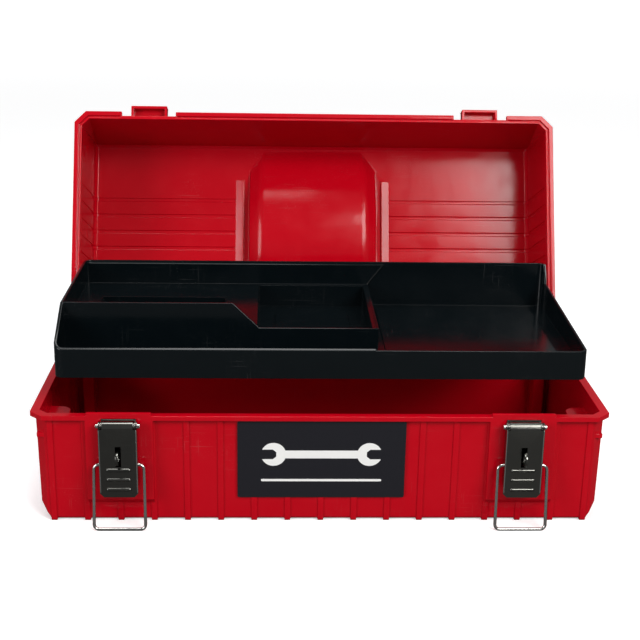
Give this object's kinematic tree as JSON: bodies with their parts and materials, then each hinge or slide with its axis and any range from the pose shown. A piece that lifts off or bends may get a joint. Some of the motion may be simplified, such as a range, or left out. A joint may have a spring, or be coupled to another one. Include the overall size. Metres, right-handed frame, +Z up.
{
  "type": "toolbox with tray",
  "caption": "Lidded plastic toolbox with ribbed walls, steel lever latches with wire bails, a folding carry handle and a lift-out divided tray.",
  "frame": {"origin": "centre of the base's underside, on the plane of its feet", "axes": "+X along the box to its right end, +Y from the front (latches) to the back (hinges), +Z up"},
  "size_m": [0.368, 0.3109, 0.2334],
  "materials": {
    "red_plastic": "semi-gloss moulded polypropylene with fine grain and light scuffs",
    "black_plastic": "satin black moulded plastic",
    "handle_plastic": "grained black moulded plastic",
    "label_film": "blank black self-adhesive film with a thin pale border",
    "steel": "polished stainless steel sheet and wire"
  },
  "bodies": {
    "base": {"base_shell": "red_plastic", "front_label": "label_film", "hinge_pin_left": "steel", "hinge_pin_right": "steel", "latch_bracket_left": "steel", "latch_bracket_right": "steel", "latch_rivets_left": "steel", "latch_rivets_right": "steel", "padlock_staple_left": "steel", "padlock_staple_right": "steel", "latch_pin_left": "steel", "latch_pin_right": "steel"},
    "lid": {"lid_shell": "red_plastic", "handle_pin_left": "steel", "handle_pin_right": "steel"},
    "tray": {"tray": "black_plastic"},
    "handle": {"carry_handle": "handle_plastic"},
    "lever_left": {"latch_lever_left": "steel"},
    "lever_right": {"latch_lever_right": "steel"},
    "wire_left": {"bail_left": "steel"},
    "wire_right": {"bail_right": "steel"}
  },
  "joints": [
    {"name": "lid_hinge", "type": "hinge", "parent": "base", "child": "lid", "pos_m": [0, 0.085, 0.0741], "axis": [-1, 0, 0], "range_deg": [-113, 0]},
    {"name": "tray_slide", "type": "slide", "parent": "base", "child": "tray", "axis": [0, 0, 1], "range_m": [-0.0324, 0.07]},
    {"name": "handle_fold", "type": "hinge", "parent": "lid", "child": "handle", "pos_m": [0, 0.16958, 0.11316], "axis": [-1, 0, 0], "range_deg": [0, 90]},
    {"name": "latch_left", "type": "hinge", "parent": "base", "child": "lever_left", "pos_m": [-0.1275, -0.0884, 0.0692], "axis": [-1, 0, 0], "range_deg": [0, 140]},
    {"name": "bail_left_swing", "type": "hinge", "parent": "lever_left", "child": "wire_left", "pos_m": [-0.1275, -0.089, 0.0434], "axis": [1, 0, 0], "range_deg": [-178.72, 0]},
    {"name": "latch_right", "type": "hinge", "parent": "base", "child": "lever_right", "pos_m": [0.1275, -0.0884, 0.0692], "axis": [-1, 0, 0], "range_deg": [0, 140]},
    {"name": "bail_right_swing", "type": "hinge", "parent": "lever_right", "child": "wire_right", "pos_m": [0.1275, -0.089, 0.0434], "axis": [1, 0, 0], "range_deg": [-178.72, 0]}
  ]
}
